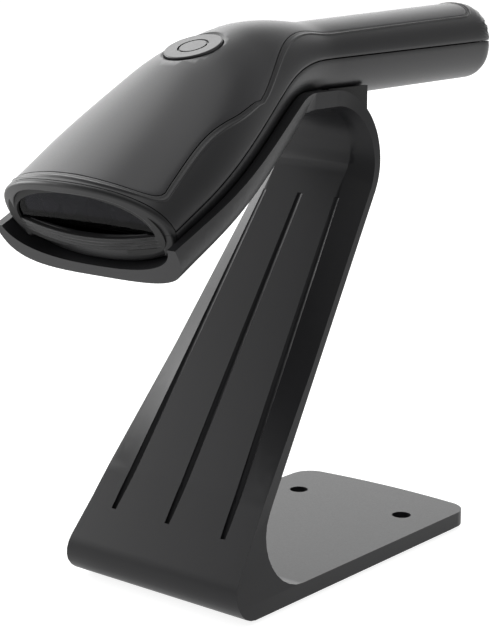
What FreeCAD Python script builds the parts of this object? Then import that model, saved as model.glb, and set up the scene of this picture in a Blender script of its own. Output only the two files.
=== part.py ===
import FreeCAD, Part
import math
import os

# Handheld barcode scanner resting on a one-piece counter stand.
# Millimetres. X is across the object, the nose looks towards -Y and +Z is up.
# While the pieces are built, Y = 0 is the line of the two fixing holes and Z = 0 the counter;
# at the end everything is moved along Y so that the origin is below the middle of the whole object.

Vector = FreeCAD.Vector

# ---------------------------------------------------------------- driving sizes of the scanner
head_pitch = 28.0            # the head's spine falls by this many degrees towards the nose
handle_pitch = 1.0           # the handle rises by this many degrees towards its end
head_length = 79.0           # straight part of the spine, nose to start of the bend
bend_radius = 56.0
handle_length = 98.0         # end of the bend to the handle's end face
nose_plane_pitch = 33.0      # the nose is cut square to a line falling by this angle
nose_half_width = 32.0
handle_half_width = 14.0
taper_start = 20.0           # spine distance where the head starts to narrow to the handle
taper_overrun = 9.6          # and how far behind the bend it ends
nose_top = 16.4              # spine to the top skin at the nose
head_top_rise = 0.087        # how much that grows per mm along the head
handle_top = 10.5
handle_top_rise = 0.022
shoulder_lead = 24.0         # the shoulder starts this far before the bend
shoulder_overrun = 6.6       # and ends this far behind it
nose_bottom = 12.2           # spine to the bottom skin
handle_bottom = 13.6
upper_roundness = 2.1        # exponent of the section's upper half, 2 is an ellipse
lower_roundness = 2.5
housing_wall = 2.4
seam_gap = 0.2               # visible gap of a parting line
handle_end_round = 4.0

# top cover and trigger
cover_thickness = 1.3
cover_gap = 0.25
cover_front_inset = 4.6      # nose plane to the front edge of the cover
cover_margin = 4.0           # head's edge to the cover's edge at the nose
cover_corner = 8.2           # front edge of the cover to the end of its round front corner
cover_head_margin = 6.6      # the same further back on the head
cover_handle_margin = 4.0    # handle's edge to the cover's edge
cover_narrow_lead = 32.0     # the cover starts to narrow this far before the bend
cover_narrow_short = 1.4     # and is narrow this far before the bend's end
cover_end_inset = 8.0        # handle's end face to the rear edge of the cover
button_lead = 11.8           # the trigger's middle lies this far before the bend
button_pitch = 20.0          # the trigger's face falls by this angle towards the nose
button_height = 20.2         # spine to the top of the trigger, square to the spine
button_radius = 8.9
button_thickness = 1.8
button_groove_radius = 4.8
button_groove_width = 0.7
button_groove_depth = 0.5
button_clearance = 0.25
button_travel = 0.8
dish_radius = 10.8
dish_depth = 0.7
stem_radius = 2.0
stem_length = 4.2
plunger_radius = 1.7
plunger_height = 1.2
switch_size = 6.0
switch_height = 3.6
switch_clearance = 0.06
trigger_board_thickness = 1.2
trigger_board_width = 30.0
trigger_board_length = 14.0
trigger_post_spread = 11.5
trigger_post_radius = 2.3

# optics
bezel_depth = 2.2
bezel_rim = 3.0
fit_gap = 0.15
gasket_thickness = 0.8
window_thickness = 1.2
led_board_thickness = 1.2
led_radius = 2.4
led_height = 2.2
led_spread = 18.5
chassis_start = 12.0
chassis_length = 40.0
chassis_half_width = 15.0
chassis_low = -8.2
chassis_high = 7.6
chassis_wall = 1.6
lens_radius = 4.2
lens_length = 9.0
sensor_width = 30.0
sensor_height = 6.0
sensor_thickness = 2.2
screw_radius = 1.0
screw_head_radius = 1.9
screw_head_height = 1.3
screw_length = 6.0
screw_clearance = 0.05

# electronics in the handle
board_half_width = 9.5
board_length = 72.0
board_start = 6.0            # end of the bend to the front edge of the board
board_height = -2.5          # spine to the underside of the board
board_thickness = 1.6
chip_size = 9.0
chip_thickness = 1.2
beeper_radius = 5.0
beeper_height = 4.0
socket_width = 12.6
socket_height = 11.0
socket_length = 16.0
socket_mouth_width = 9.8
socket_mouth_height = 7.6
socket_drop = 0.6
release_hole_radius = 0.9
release_hole_inset = 17.0    # end face of the handle to the pinhole
release_hole_drop = 10.6     # spine down to the pinhole
undercut_half_width = 25.0
undercut_length = 9.0
undercut_height = 8.6
flex_width = 9.0
flex_thickness = 0.3

# ---------------------------------------------------------------- driving sizes of the stand
base_half_width = 35.4
base_rear = 22.0
base_bow = 1.5               # how far the rear edge bows out at its middle
base_corner_radius = 8.0
base_thickness = 5.0
pad_thickness = 1.2
pad_inset = 1.8
hole_spacing = 44.0
hole_radius = 3.2
hole_boss_radius = 6.4
ballast_thickness = 2.8
ballast_inset = 5.0
ballast_gap = 0.4
neck_lean = 36.5             # degrees back from upright
neck_thickness = 4.0
neck_rim_thickness = 2.6
neck_rim_run = 0.4           # share of the neck in which its rims thin down
neck_foot_half_width = 34.6
heel_radius = 8.0            # outer bend from the underside into the neck
heel_fillet = 15.0           # inner bend from the top of the base into the neck
heel_height = 32.0
curl_centre_y = -34.5
curl_centre_z = 130.8
curl_radius = 20.5
curl_half_width_low = 22.0   # strap half width where the curl begins
curl_half_width_top = 18.6
curl_flat = 11.5             # level run on top of the curl
spine_behind_curl = -0.43    # the spine's bend ends this far behind the curl's middle
spine_above_curl = 9.33      # and this far above the curl's top
arm_bend_radius = 25.0
arm_pitch = 25.0             # the rim of the cradle falls by this angle towards the nose
rim_width = 2.6
curl_rim_thickness = 5.0
strap_wall = 3.0
foot_channel_half_width = 20.0
curl_channel_half_width = 13.0
foot_channel_depth = 1.0
neck_channel_depth = 5.0
curl_channel_depth = 3.4
groove_width_top = 2.6
groove_width_foot = 1.5
cradle_clearance = 0.4
cradle_wall = 2.8            # of the side walls
cradle_floor = 4.1           # below the head
cradle_floor_rear = 1.9      # where the floor runs into the curl
cradle_squareness = 3.6      # exponent of its outer section
cradle_front_step = 0.6      # the cradle's lip stands this far in front of the nose plane
rest_half_width = 13.0
rest_rear_y = -10.6
rest_thickness = 3.4
rest_saddle = 4.5            # how far its sides rise beside the handle
rest_front_y = -31.0

# ---------------------------------------------------------------- helpers


def smooth_step(value, start, end):
    """0 before start, 1 after end, with an easy run between."""
    t = min(1.0, max(0.0, (value - start) / (end - start)))
    return t * t * (3.0 - 2.0 * t)


def box(x0, x1, y0, y1, z0, z1):
    return Part.makeBox(x1 - x0, y1 - y0, z1 - z0, Vector(x0, y0, z0))


def cylinder(radius, height, base, direction=Vector(0, 0, 1)):
    return Part.makeCylinder(radius, height, base, direction)


def mirrored(shape):
    return shape.mirror(Vector(0, 0, 0), Vector(1, 0, 0))


def side_prism(outline, half_width):
    """Closed (y, z) polygon drawn out along X on both sides."""
    points = [Vector(-half_width, y, z) for y, z in outline]
    wire = Part.makePolygon(points + points[:1])
    return Part.Face(wire).extrude(Vector(2.0 * half_width, 0, 0))


def fuse(shapes):
    result = shapes[0]
    if len(shapes) > 1:
        result = shapes[0].multiFuse(shapes[1:])
    return result.removeSplitter()


def solid_of(shape):
    """The largest solid of a boolean result."""
    return max(shape.Solids, key=lambda s: s.Volume)


# ---------------------------------------------------------------- the scanner's spine and sections
head_angle = math.radians(head_pitch)
handle_angle = math.radians(handle_pitch)
bend_angle = head_angle - handle_angle
bend_length = bend_radius * bend_angle
bend_end = head_length + bend_length
spine_end = bend_end + handle_length
taper_end = bend_end + taper_overrun
button_along = head_length - button_lead

bend_end_y = curl_centre_y + spine_behind_curl
bend_end_z = curl_centre_z + curl_radius + spine_above_curl
bend_centre_y = bend_end_y + bend_radius * math.sin(handle_angle)
bend_centre_z = bend_end_z - bend_radius * math.cos(handle_angle)
bend_start_y = bend_centre_y - bend_radius * math.sin(head_angle)
bend_start_z = bend_centre_z + bend_radius * math.cos(head_angle)
nose_y = bend_start_y - head_length * math.cos(head_angle)
nose_z = bend_start_z - head_length * math.sin(head_angle)


def spine(distance):
    """Y, Z and pitch of the spine at a distance from the nose."""
    if distance <= head_length:
        y = nose_y + distance * math.cos(head_angle)
        z = nose_z + distance * math.sin(head_angle)
        return y, z, head_angle
    if distance <= bend_end:
        angle = head_angle - (distance - head_length) / bend_radius
        y = bend_centre_y - bend_radius * math.sin(angle)
        z = bend_centre_z + bend_radius * math.cos(angle)
        return y, z, angle
    run = distance - bend_end
    y = bend_end_y + run * math.cos(handle_angle)
    z = bend_end_z + run * math.sin(handle_angle)
    return y, z, handle_angle


def on_section(distance, x, height):
    """A point of the section plane that stands square on the spine."""
    y, z, angle = spine(distance)
    return Vector(x, y - height * math.sin(angle), z + height * math.cos(angle))


def half_width(distance):
    narrowing = smooth_step(distance, taper_start, taper_end)
    return nose_half_width + (handle_half_width - nose_half_width) * narrowing


def top_height(distance):
    on_head = nose_top + head_top_rise * distance
    on_handle = handle_top + handle_top_rise * (distance - bend_end)
    share = smooth_step(distance, head_length - shoulder_lead, bend_end + shoulder_overrun)
    return on_head + (on_handle - on_head) * share


def bottom_height(distance):
    share = smooth_step(distance, head_length - 10.0, bend_end + 10.0)
    return nose_bottom + (handle_bottom - nose_bottom) * share


def section_wire(distance, grow, grow_low=None, low_power=lower_roundness):
    """Closed smooth outline of the body at a spine distance, grown by an offset."""
    wide = half_width(distance) + grow
    high = top_height(distance) + grow
    low = bottom_height(distance) + (grow if grow_low is None else grow_low)
    points = []
    steps = 28
    for i in range(steps):
        turn = 2.0 * math.pi * i / steps
        c = math.cos(turn)
        s = math.sin(turn)
        power = 2.0 / (upper_roundness if s >= 0 else low_power)
        x = wide * math.copysign(abs(c) ** power, c)
        height = (high if s >= 0 else low) * math.copysign(abs(s) ** power, s)
        points.append(on_section(distance, x, height))
    curve = Part.BSplineCurve()
    curve.interpolate(points, PeriodicFlag=True)
    return Part.Wire([curve.toShape()])


station_list = [-9.0, 0.0, 10.0, 20.0, 30.0, 40.0, 50.0, 60.0, 70.0, head_length]
station_list += [head_length + bend_length * k / 4.0 for k in (1, 2, 3, 4)]
station_list += [bend_end + 14.0 + (handle_length - 2.0) * k / 4.0 for k in (0, 1, 2, 3, 4)]


def body_loft(grow, start=None, end=None):
    """The scanner's body grown by an offset, between two spine distances."""
    distances = [d for d in station_list]
    if start is not None:
        distances = [start] + [d for d in distances if d > start + 3.0]
    if end is not None:
        distances = [d for d in distances if d < end - 3.0] + [end]
    return Part.makeLoft([section_wire(d, grow) for d in distances], True, False)


def seam_side(offset, above):
    """Everything above or below the spine, moved square to it by an offset."""
    marks = [-40.0, head_length]
    marks += [head_length + bend_length * k / 12.0 for k in range(1, 12)]
    marks += [bend_end, spine_end + 40.0]
    line = []
    for distance in marks:
        point = on_section(distance, 0.0, offset)
        line.append((point.y, point.z))
    far = 260.0 if above else -20.0
    return side_prism(line + [(line[-1][0], far), (line[0][0], far)], 60.0)


nose_plane_angle = math.radians(nose_plane_pitch)
nose_axis = Vector(0, -math.cos(nose_plane_angle), -math.sin(nose_plane_angle))
nose_up = Vector(0, -math.sin(nose_plane_angle), math.cos(nose_plane_angle))
nose_centre = on_section(1.8, 0.0, 0.0)


def in_front_of_nose(offset):
    """Half space in front of the nose plane, moved forward by an offset."""
    block = Part.makeBox(160.0, 160.0, 200.0, Vector(-80.0, -160.0, -100.0))
    block.rotate(Vector(0, 0, 0), Vector(1, 0, 0), nose_plane_pitch)
    block.translate(nose_centre + nose_axis * offset)
    return block


handle_end_y = spine(spine_end)[0]


def head_place(shape):
    """Moves a shape drawn in spine axes (x, along, height) to the head."""
    placed = shape.copy()
    placed.rotate(Vector(0, 0, 0), Vector(1, 0, 0), head_pitch)
    placed.translate(Vector(0, nose_y, nose_z))
    return placed


def handle_place(shape):
    """The same for the handle, where along is counted from the end of the bend."""
    placed = shape.copy()
    placed.rotate(Vector(0, 0, 0), Vector(1, 0, 0), handle_pitch)
    placed.translate(Vector(0, bend_end_y, bend_end_z))
    return placed


button_centre = on_section(button_along, 0.0, button_height)


def button_place(shape):
    """Moves a shape drawn about the trigger's axis, with its top at height 0."""
    placed = shape.copy()
    placed.rotate(Vector(0, 0, 0), Vector(1, 0, 0), button_pitch)
    placed.translate(button_centre)
    return placed


# ---------------------------------------------------------------- scanner housings
round_start = spine_end - handle_end_round
round_wires = []
for turn in (0.0, 25.0, 50.0, 70.0, 90.0):
    reach = handle_end_round * math.sin(math.radians(turn))
    shrink = handle_end_round * (1.0 - math.cos(math.radians(turn)))
    round_wires.append(section_wire(round_start + reach, -shrink))
rounded_end = Part.makeLoft(round_wires, True, False)
outer = body_loft(0.0, end=round_start).fuse(rounded_end).removeSplitter()
outer = outer.cut(in_front_of_nose(0.0))
hollow = body_loft(-housing_wall, end=spine_end - handle_end_round).cut(in_front_of_nose(40.0))
shell = outer.cut(hollow)
upper_shell = solid_of(shell.common(seam_side(seam_gap / 2.0, True)))
lower_shell = solid_of(shell.common(seam_side(-seam_gap / 2.0, False)))


def cover_outline(grow):
    """Plan outline of the inset top cover as a closed wire at Z = 0."""
    front = on_section(0.0, 0.0, top_height(0.0)).y + cover_front_inset - grow
    rear = handle_end_y - cover_end_inset + grow
    wide = nose_half_width - cover_margin + grow
    side = [Vector(0, front, 0)]
    for across, back in ((0.29, 0.06), (0.54, 0.23), (0.77, 0.44), (0.92, 0.68), (0.995, 1.0), (1.0, 1.45)):
        side.append(Vector(wide * across, front + cover_corner * back, 0))
    on_head = nose_half_width - cover_head_margin
    on_handle = handle_half_width - cover_handle_margin
    for k in range(9):
        distance = 24.0 + (bend_end - 19.0) * k / 8.0
        narrowing = smooth_step(distance, head_length - cover_narrow_lead, bend_end - cover_narrow_short)
        x = on_head + (on_handle - on_head) * narrowing
        x += (cover_head_margin - cover_margin) * (1.0 - smooth_step(distance, 8.0, 40.0))
        y = on_section(distance, 0.0, top_height(distance) * 0.9).y
        side.append(Vector(x + grow, y, 0))
    x_end = on_handle + grow
    side += [Vector(x_end, rear - 20.0, 0)]
    curve = Part.BSplineCurve()
    curve.interpolate(side, InitialTangent=Vector(1, 0, 0), FinalTangent=Vector(0, 1, 0))
    corner = 6.0
    right = curve.toShape()
    straight = Part.LineSegment(side[-1], Vector(x_end, rear - corner, 0)).toShape()
    bend = Part.Arc(
        Vector(x_end, rear - corner, 0),
        Vector(x_end - corner * (1 - math.sqrt(0.5)), rear - corner * (1 - math.sqrt(0.5)), 0),
        Vector(x_end - corner, rear, 0),
    ).toShape()
    half = [right, straight, bend]
    end_line = Part.LineSegment(Vector(x_end - corner, rear, 0), Vector(corner - x_end, rear, 0)).toShape()
    return Part.Wire(Part.__sortEdges__(half + [end_line] + [mirrored(e) for e in half]))


def cover_prism(grow):
    face = Part.Face(cover_outline(grow))
    return face.extrude(Vector(0, 0, 300))


above_cover_edge = seam_side(4.0, True)
under_cover = body_loft(-cover_thickness, end=round_start)
cover_bed = body_loft(-cover_thickness - 0.05, end=round_start)
top_cover = outer.common(cover_prism(0.0)).common(above_cover_edge).cut(under_cover)
cover_recess = cover_prism(cover_gap).common(above_cover_edge).cut(cover_bed)
upper_housing = upper_shell.cut(cover_recess)

# the trigger drops into a dished hole in the cover and the housing below it
button_bore = button_radius + button_clearance
dish_slope = (dish_radius - button_bore) / dish_depth
dish_rise = 4.0 * dish_depth
dish = Part.makeCone(button_bore, button_bore + dish_slope * dish_rise, dish_rise)
dish.translate(Vector(0, 0, -dish_depth - 0.2))
hole = cylinder(button_bore, 20.0, Vector(0, 0, -10.0))
top_cover = solid_of(top_cover.cut(button_place(hole)).cut(button_place(dish)))
upper_housing = solid_of(upper_housing.cut(button_place(hole)))

cap = cylinder(button_radius, button_thickness, Vector(0, 0, -button_thickness))
cap = cap.makeFillet(0.35, [e for e in cap.Edges if abs(e.BoundBox.ZMax) < 0.01 and e.BoundBox.XLength > 5])
groove_outer = cylinder(button_groove_radius, button_groove_depth + 1, Vector(0, 0, -button_groove_depth))
groove_inner = cylinder(
    button_groove_radius - button_groove_width,
    button_groove_depth + 3,
    Vector(0, 0, -button_groove_depth - 1),
)
cap = cap.cut(groove_outer.cut(groove_inner))
stem = cylinder(stem_radius, stem_length, Vector(0, 0, -button_thickness - stem_length))
trigger_button = button_place(fuse([cap, stem]))

plunger_top = -button_thickness - stem_length
switch_top = plunger_top - plunger_height
plunger_reach = button_travel + 0.6
plunger = cylinder(plunger_radius, plunger_height + plunger_reach - button_travel, Vector(0, 0, 0))
plunger.translate(Vector(0, 0, switch_top - plunger_reach + button_travel))
switch_plunger = button_place(plunger)
switch_body = box(
    -switch_size / 2,
    switch_size / 2,
    -switch_size / 2,
    switch_size / 2,
    switch_top - switch_height,
    switch_top,
)
bore_bottom = switch_top - plunger_reach - 0.4
switch_bore = cylinder(plunger_radius + switch_clearance, 10.0, Vector(0, 0, bore_bottom))
trigger_switch = button_place(switch_body.cut(switch_bore))

board_top = switch_top - switch_height
trigger_board = box(
    -trigger_board_width / 2,
    trigger_board_width / 2,
    -trigger_board_length / 2,
    trigger_board_length / 2,
    board_top - trigger_board_thickness,
    board_top,
)
post_parts = []
board_screws = []
for side in (-1, 1):
    at = Vector(side * trigger_post_spread, 0, board_top)
    post_parts.append(button_place(cylinder(trigger_post_radius, 14.0, at)))
    drill = cylinder(screw_radius + screw_clearance, 12.0, at - Vector(0, 0, 3.0))
    trigger_board = trigger_board.cut(drill)
    shank_base = at - Vector(0, 0, trigger_board_thickness)
    shank = cylinder(screw_radius, screw_length, shank_base)
    head = cylinder(screw_head_radius, screw_head_height, shank_base - Vector(0, 0, screw_head_height))
    board_screws.append(button_place(fuse([shank, head])))
trigger_board = button_place(trigger_board)
posts = [p.common(outer).cut(button_place(hole)).cut(cover_recess) for p in post_parts]
upper_housing = solid_of(fuse([upper_housing] + posts))
for screw in board_screws:
    upper_housing = upper_housing.cut(screw)

# ---------------------------------------------------------------- nose: bezel, gasket, window
mouth = body_loft(-housing_wall - fit_gap).cut(in_front_of_nose(-0.3))
mouth_slab = mouth.common(in_front_of_nose(-0.3 - bezel_depth))
mouth_opening = body_loft(-housing_wall - fit_gap - bezel_rim)
nose_bezel = solid_of(mouth_slab.cut(mouth_opening))
gasket_slab = mouth.common(in_front_of_nose(-0.3 - bezel_depth - gasket_thickness))
gasket_slab = gasket_slab.cut(in_front_of_nose(-0.3 - bezel_depth))
window_gasket = solid_of(gasket_slab.cut(mouth_opening))
window_back = -0.3 - bezel_depth - gasket_thickness - window_thickness
window_body = body_loft(-housing_wall - fit_gap - 0.1)
scan_window = window_body.common(in_front_of_nose(window_back)).cut(
    in_front_of_nose(-0.3 - bezel_depth - gasket_thickness)
)
scan_window = solid_of(scan_window)

# ---------------------------------------------------------------- scan engine inside the head
chassis = box(
    -chassis_half_width,
    chassis_half_width,
    chassis_start,
    chassis_start + chassis_length,
    chassis_low,
    chassis_high,
)
chassis_room = box(
    -chassis_half_width + chassis_wall,
    chassis_half_width - chassis_wall,
    chassis_start + chassis_wall,
    chassis_start + chassis_length + 1.0,
    chassis_low + chassis_wall,
    chassis_high + 1.0,
)
lens_axis_height = (chassis_low + chassis_high) / 2.0
lens_at = Vector(0, chassis_start - 3.0, lens_axis_height)
spine_axis = Vector(0, 1, 0)
bore_at = Vector(0, chassis_start - 1.0, lens_axis_height)
lens_bore = cylinder(lens_radius + 0.05, chassis_wall + 2.0, bore_at, spine_axis)
scan_chassis_local = chassis.cut(chassis_room).cut(lens_bore)
lens_tube = cylinder(lens_radius, lens_length, lens_at, Vector(0, 1, 0))
lens_tube = lens_tube.cut(cylinder(lens_radius - 1.0, lens_length - 2.0, lens_at - spine_axis, spine_axis))
lens_tube = lens_tube.cut(cylinder(1.2, 30.0, lens_at - Vector(0, 1, 0), Vector(0, 1, 0)))
lens_glass_local = cylinder(lens_radius - 1.05, 1.5, lens_at + Vector(0, 1.0, 0), Vector(0, 1, 0))
sensor_y = chassis_start + chassis_length - sensor_thickness - 2.0
sensor_local = box(
    -chassis_half_width + chassis_wall,
    chassis_half_width - chassis_wall,
    sensor_y,
    sensor_y + sensor_thickness,
    chassis_low + chassis_wall,
    chassis_low + chassis_wall + sensor_height + 5.0,
)
scan_chassis = head_place(scan_chassis_local)
lens_barrel = head_place(lens_tube)
lens_glass = head_place(lens_glass_local)
image_sensor = head_place(sensor_local)

# two ribs in the lower housing carry the chassis
chassis_ribs = []
for along in (chassis_start + 4.0, chassis_start + chassis_length - 6.0):
    rib = box(-10.0, 10.0, along, along + 2.0, chassis_low - 6.0, chassis_low)
    chassis_ribs.append(head_place(rib).common(outer))

# the light board stands in front of the chassis, with a gap for the lens
led_board_local = box(
    -23.0,
    23.0,
    chassis_start - led_board_thickness,
    chassis_start,
    -6.0,
    chassis_high - 0.5,
)
led_board_local = led_board_local.cut(
    cylinder(lens_radius + 0.5, 6.0, Vector(0, chassis_start - 4.0, lens_axis_height), Vector(0, 1, 0))
)
led_board = head_place(led_board_local)
leds = []
for x in (-led_spread, -led_spread + 8.0, led_spread - 8.0, led_spread):
    base = Vector(x, chassis_start - led_board_thickness, lens_axis_height + 1.0)
    dome = cylinder(led_radius, led_height, base - Vector(0, led_height, 0), Vector(0, 1, 0))
    dome = dome.makeFillet(0.9, [e for e in dome.Edges if e.BoundBox.YMax < base.y - led_height + 0.01])
    leds.append(head_place(dome))
illumination_leds = Part.makeCompound(leds)

# ---------------------------------------------------------------- electronics in the handle
board_y0 = board_start
board_y1 = board_start + board_length
main_board_local = box(
    -board_half_width, board_half_width, board_y0, board_y1, board_height, board_height + board_thickness
)
board_face = board_height + board_thickness
chip_y = board_y0 + 14
chip_top = board_face + chip_thickness
chip_a = box(-chip_size / 2, chip_size / 2, chip_y, chip_y + chip_size, board_face, chip_top)
chip_b = box(-3, 3, board_y0 + 30, board_y0 + 35, board_face, board_face + chip_thickness)
chip_c = box(-6, -2, board_y0 + 42, board_y0 + 46, board_face, board_face + chip_thickness)
board_chips = Part.makeCompound([handle_place(c) for c in (chip_a, chip_b, chip_c)])
beeper_at = Vector(1.0, board_y0 + 56.0, board_face)
beeper_local = cylinder(beeper_radius, beeper_height, beeper_at)
beeper_local = beeper_local.cut(cylinder(0.8, 3.0, beeper_at + Vector(0, 0, beeper_height - 1.0)))
beeper = handle_place(beeper_local)

lower_posts = []
housing_screws = []
for along, x in ((board_y0 + 5.0, 6.5), (board_y1 - 5.0, 6.5)):
    for side in (-1, 1):
        at = Vector(side * x, along, board_height)
        post = cylinder(2.1, 30.0, at, Vector(0, 0, -1))
        lower_posts.append(handle_place(post).common(outer))
        drill = cylinder(screw_radius + screw_clearance, 6.0, at - Vector(0, 0, 2.0))
        main_board_local = main_board_local.cut(drill)
        shank_top = Vector(at.x, at.y, board_face)
        shank = cylinder(screw_radius, screw_length, shank_top, Vector(0, 0, -1))
        head = cylinder(screw_head_radius, screw_head_height, shank_top)
        housing_screws.append(handle_place(fuse([shank, head])))
main_board = handle_place(main_board_local)
lower_housing = fuse([lower_shell] + lower_posts + chassis_ribs)
for screw in housing_screws:
    lower_housing = lower_housing.cut(screw)
main_board_screws = Part.makeCompound(housing_screws)
trigger_board_screws = Part.makeCompound(board_screws)


# a ribbon joins the image sensor to the main board along the spine
ribbon_start = sensor_y + sensor_thickness
ribbon_marks = [ribbon_start, head_length]
ribbon_marks += [head_length + bend_length * k / 6.0 for k in range(1, 6)]
ribbon_marks += [bend_end, bend_end + board_y0 + 7.0]
ribbon_low = [on_section(d, 0.0, board_face) for d in ribbon_marks]
ribbon_high = [on_section(d, 0.0, board_face + flex_thickness) for d in reversed(ribbon_marks)]
flex_cable = side_prism([(p.y, p.z) for p in ribbon_low + ribbon_high], flex_width / 2.0)

# cable inlet at the end of the handle
socket_y1 = handle_length - 1.0
socket_low = -socket_height / 2.0 - socket_drop
socket_outer = box(
    -socket_width / 2,
    socket_width / 2,
    socket_y1 - socket_length,
    socket_y1,
    socket_low,
    socket_low + socket_height,
)
mouth_low = socket_low + (socket_height - socket_mouth_height) / 2.0
socket_room = box(
    -socket_mouth_width / 2,
    socket_mouth_width / 2,
    socket_y1 - socket_length + 3.0,
    socket_y1 + 5.0,
    mouth_low,
    mouth_low + socket_mouth_height,
)
cable_socket = handle_place(socket_outer.cut(socket_room))
inlet_cut = handle_place(
    box(
        -socket_width / 2 - fit_gap,
        socket_width / 2 + fit_gap,
        socket_y1 - 6.0,
        socket_y1 + 8.0,
        socket_low - fit_gap,
        socket_low + socket_height + fit_gap,
    )
)
lower_housing = lower_housing.cut(inlet_cut)
upper_housing = upper_housing.cut(inlet_cut)

# pinhole for the tool that frees the cable plug
pinhole_at = on_section(spine_end - release_hole_inset, 5.0, -release_hole_drop)
pinhole = cylinder(release_hole_radius, 15.0, pinhole_at, Vector(1, 0, 0))
dimple_at = pinhole_at + Vector(8.2, 0, 0)
dimple = Part.makeCone(release_hole_radius, release_hole_radius + 4.0, 4.0, dimple_at, Vector(1, 0, 0))
lower_housing = lower_housing.cut(pinhole).cut(dimple)

# the nose is undercut between its corners, so that the window looks over the stand's lip
undercut = head_place(
    box(-undercut_half_width, undercut_half_width, -20.0, undercut_length, -40.0, -undercut_height)
)
lower_housing = solid_of(lower_housing.cut(undercut))
nose_bezel = solid_of(nose_bezel.cut(undercut))

# ---------------------------------------------------------------- stand: lines of the side view
base_top = pad_thickness + base_thickness
lean = math.radians(neck_lean)
neck_top_y = curl_centre_y + curl_radius * math.cos(lean)
neck_top_z = curl_centre_z - curl_radius * math.sin(lean)


def neck_back(z):
    """Y of the neck's rim line, on its rear side, at a height."""
    return neck_top_y + (z - neck_top_z) * math.tan(lean)


def neck_half_width(z):
    share = (z - base_top) / (neck_top_z - base_top)
    return neck_foot_half_width + (curl_half_width_low - neck_foot_half_width) * share


foot_z = heel_height
front_foot_y = neck_back(foot_z) - neck_thickness / math.cos(lean)
heel_centre_z = pad_thickness + heel_radius
heel_contact_z = heel_centre_z + heel_radius * math.sin(lean)
heel_contact_y = front_foot_y + (heel_contact_z - foot_z) * math.tan(lean)
heel_centre_y = heel_contact_y + heel_radius * math.cos(lean)
base_front = heel_centre_y
fillet_centre_z = base_top + heel_fillet
fillet_centre_y = neck_back(fillet_centre_z + heel_fillet * math.sin(lean)) + heel_fillet * math.cos(lean)


# ---------------------------------------------------------------- stand: base plate
def base_outline(inset, bottom, height):
    """The base's plan with round rear corners and a slightly bowed rear edge."""
    x = base_half_width - inset
    r = base_corner_radius - inset
    y0 = base_front + inset
    y1 = base_rear - inset
    k = r * (1.0 - math.sqrt(0.5))
    corner_right = Part.Arc(Vector(x, y1 - r, 0), Vector(x - k, y1 - k, 0), Vector(x - r, y1, 0))
    corner_left = Part.Arc(Vector(r - x, y1, 0), Vector(k - x, y1 - k, 0), Vector(-x, y1 - r, 0))
    rear = Part.Arc(Vector(x - r, y1, 0), Vector(0, y1 + base_bow, 0), Vector(r - x, y1, 0))
    edges = [
        Part.LineSegment(Vector(-x, y0, 0), Vector(x, y0, 0)).toShape(),
        Part.LineSegment(Vector(x, y0, 0), Vector(x, y1 - r, 0)).toShape(),
        corner_right.toShape(),
        rear.toShape(),
        corner_left.toShape(),
        Part.LineSegment(Vector(-x, y1 - r, 0), Vector(-x, y0, 0)).toShape(),
    ]
    slab = Part.Face(Part.Wire(edges)).extrude(Vector(0, 0, height))
    slab.translate(Vector(0, 0, bottom))
    return slab


holes = [cylinder(hole_radius, 40.0, Vector(s * hole_spacing / 2.0, 0, -10.0)) for s in (-1, 1)]
bosses = [cylinder(hole_boss_radius, 40.0, Vector(s * hole_spacing / 2.0, 0, -10.0)) for s in (-1, 1)]
boss_rooms = [
    cylinder(hole_boss_radius + ballast_gap, 40.0, Vector(s * hole_spacing / 2.0, 0, -10.0)) for s in (-1, 1)
]
base_slab = base_outline(0.0, pad_thickness, base_thickness)
pocket = base_outline(ballast_inset, pad_thickness, ballast_thickness + 0.1)
for boss in bosses:
    pocket = pocket.cut(boss)
base_ballast = base_outline(ballast_inset + ballast_gap, pad_thickness, ballast_thickness)
base_pad = base_outline(pad_inset, 0.0, pad_thickness)
for room, bolt_hole in zip(boss_rooms, holes):
    base_ballast = base_ballast.cut(room)
    base_pad = base_pad.cut(bolt_hole)

# ---------------------------------------------------------------- stand: the strap that makes neck and curl
def strap_section(y, z, turn, wide, channel, depth, rim):
    """Channel section: rims at both sides, the middle set inwards by depth.

    The outer side faces (cos turn, sin turn) in the YZ plane.
    """
    slope = 3.5
    outer_side = [(-wide, 0.0), (-wide + rim_width, 0.0), (-channel, -depth), (channel, -depth)]
    outer_side += [(wide - rim_width, 0.0), (wide, 0.0)]
    inner_side = [(wide, -rim), (channel + slope * 0.4, -depth - strap_wall)]
    inner_side += [(-channel - slope * 0.4, -depth - strap_wall), (-wide, -rim)]
    points = []
    for x, out in outer_side + inner_side:
        points.append(Vector(x, y + out * math.cos(turn), z + out * math.sin(turn)))
    return Part.makePolygon(points + points[:1])


def neck_profile(share):
    """Channel half width, channel depth and rim thickness at a share of the neck above the heel."""
    run = max(0.0, share)
    channel = foot_channel_half_width + (curl_channel_half_width - foot_channel_half_width) * run
    depth = foot_channel_depth + (neck_channel_depth - foot_channel_depth) * run
    rim = neck_thickness + (neck_rim_thickness - neck_thickness) * min(1.0, run / neck_rim_run)
    return channel, depth, rim


neck_sections = []
for share in (-0.1, 0.0, neck_rim_run, 1.0):
    z = foot_z + (neck_top_z - foot_z) * share
    channel, depth, rim = neck_profile(share)
    neck_sections.append(strap_section(neck_back(z), z, -lean, neck_half_width(z), channel, depth, rim))
neck = Part.makeLoft(neck_sections, True, True)

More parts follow.
